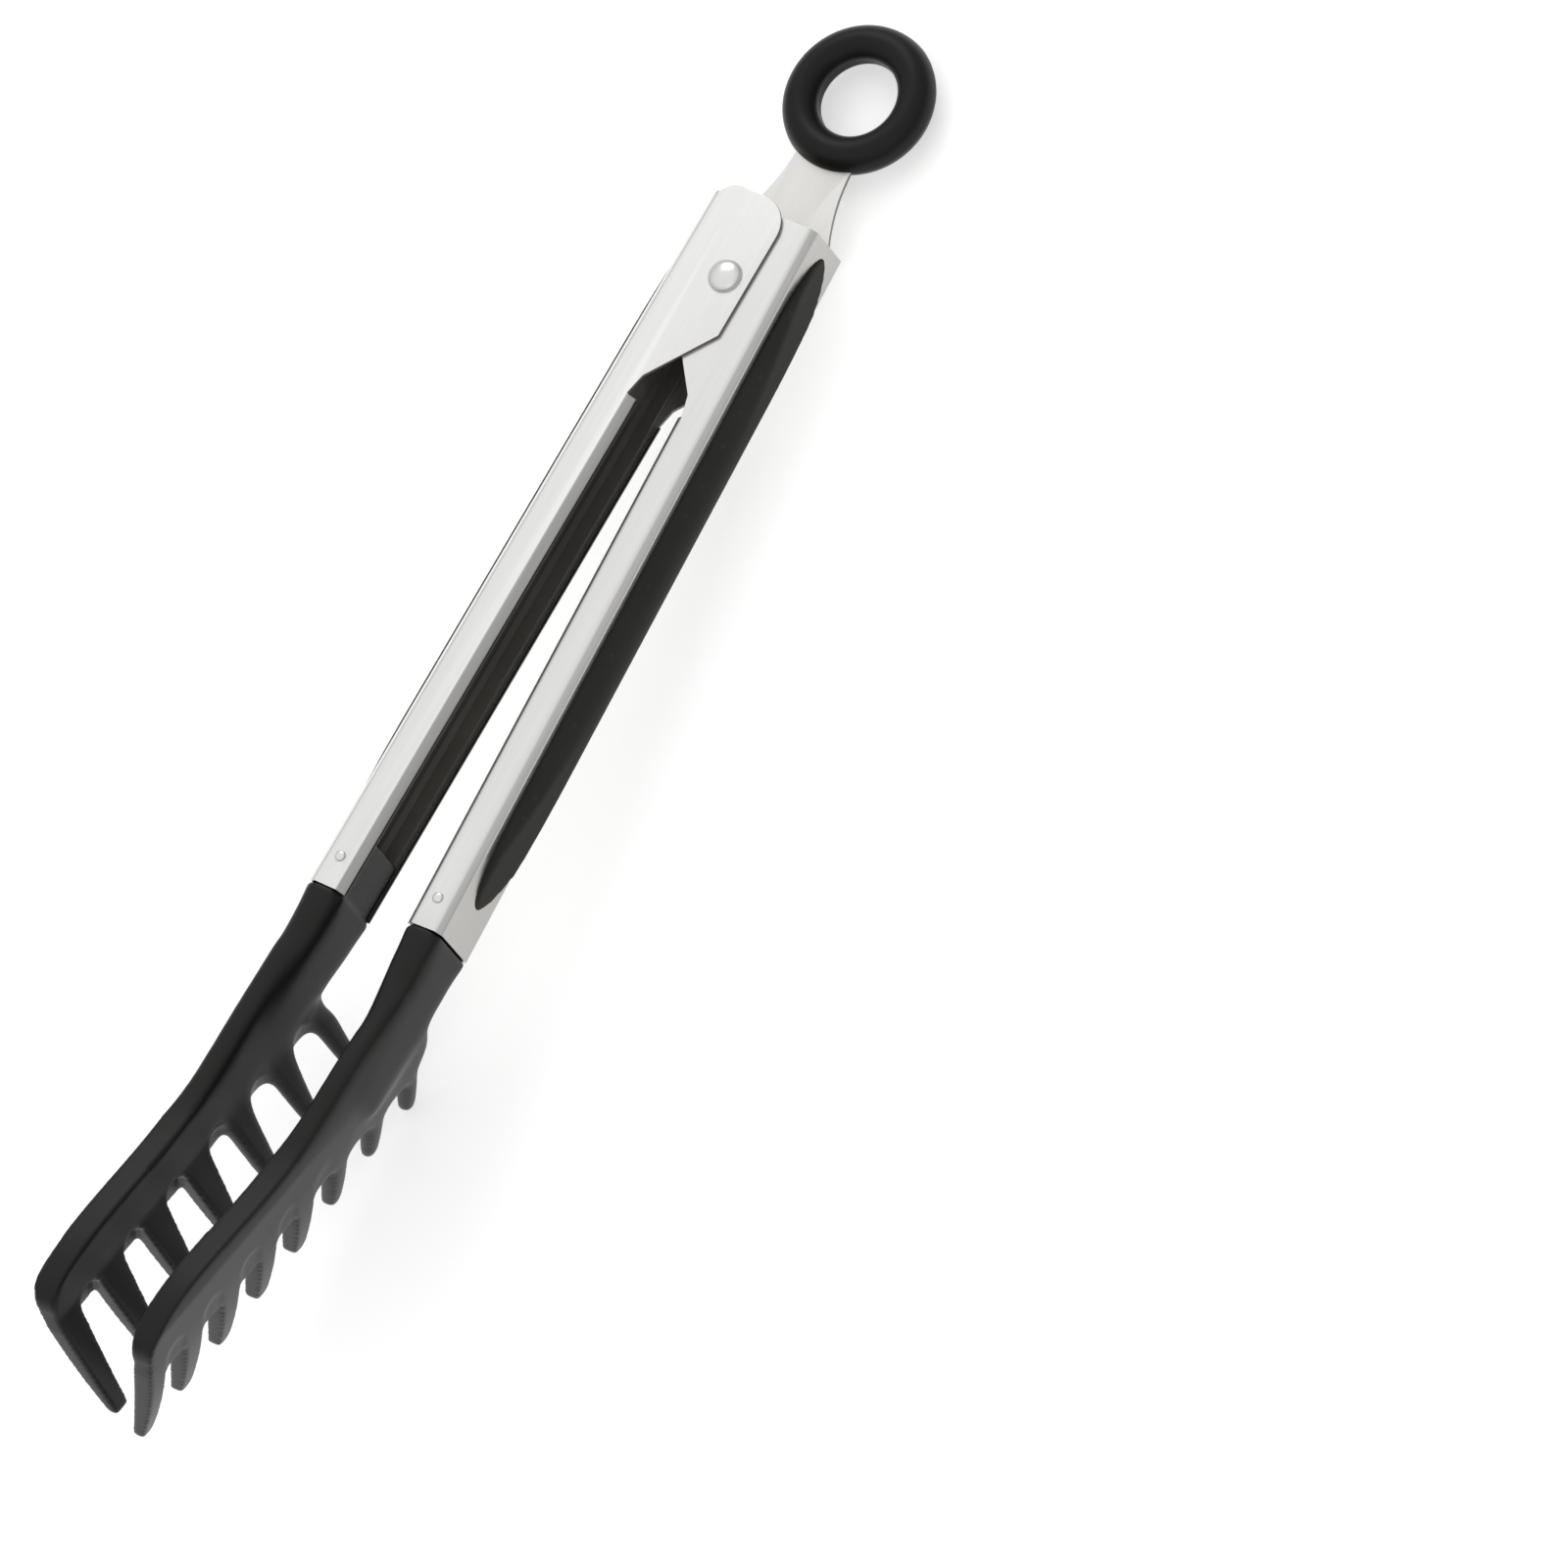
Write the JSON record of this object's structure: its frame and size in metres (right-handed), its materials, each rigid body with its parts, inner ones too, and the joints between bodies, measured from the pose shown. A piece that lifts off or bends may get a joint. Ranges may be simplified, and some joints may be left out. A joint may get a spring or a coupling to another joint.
{
  "type": "spring loaded kitchen tongs",
  "caption": "Spring loaded kitchen tongs with channel steel arms, soft grips, a pull ring lock and mirrored pasta claw heads.",
  "frame": {"origin": "centre of the hanging ring's hole, with the lock pulled out and the arms held nearly shut", "axes": "+Z along the ring's and the pivot pin's axes towards the front, +Y from the heads to the ring, +X towards the right arm"},
  "size_m": [0.0414, 0.3566, 0.0632],
  "materials": {
    "stainless_sheet": "satin brushed stainless sheet",
    "grip_rubber": "matt charcoal soft-touch rubber",
    "liner_nylon": "black moulded nylon",
    "head_nylon": "black nylon with a soft sheen",
    "rivet_steel": "bright formed rivet head",
    "bushing_nylon": "natural nylon",
    "spring_wire": "drawn spring wire",
    "tab_steel": "satin stainless plate",
    "ring_silicone": "black silicone with a soft sheen"
  },
  "bodies": {
    "pivot": {"pivot_rivet": "rivet_steel", "spring_bushing": "bushing_nylon", "tab_spacer": "bushing_nylon", "torsion_spring": "spring_wire"},
    "left_arm": {"left_arm": "stainless_sheet", "left_grip_pad": "grip_rubber", "left_channel_liner": "liner_nylon", "left_head": "head_nylon", "left_head_rivet": "rivet_steel"},
    "right_arm": {"right_arm": "stainless_sheet", "right_grip_pad": "grip_rubber", "right_channel_liner": "liner_nylon", "right_head": "head_nylon", "right_head_rivet": "rivet_steel"},
    "lock": {"lock_tab": "tab_steel", "ring_grip": "ring_silicone"}
  },
  "joints": [
    {"name": "right_arm_hinge", "type": "hinge", "parent": "pivot", "child": "right_arm", "pos_m": [0, -0.052, 0], "axis": [0, 0, 1], "range_deg": [0, 13], "stiffness_Nm_per_rad": 0.25, "springref_deg": 51.57},
    {"name": "left_arm_hinge", "type": "hinge", "parent": "pivot", "child": "left_arm", "pos_m": [0, -0.052, 0], "axis": [0, 0, 1], "range_deg": [-13, 0]},
    {"name": "lock_slide", "type": "slide", "parent": "pivot", "child": "lock", "axis": [0, 1, 0], "range_m": [-0.016, 0]}
  ],
  "couplings": [
    {"joint": "left_arm_hinge", "follows": "right_arm_hinge", "ratio": -1},
    {"joint": "lock_slide", "follows": "right_arm_hinge", "m_per_rad": -0.0705}
  ]
}
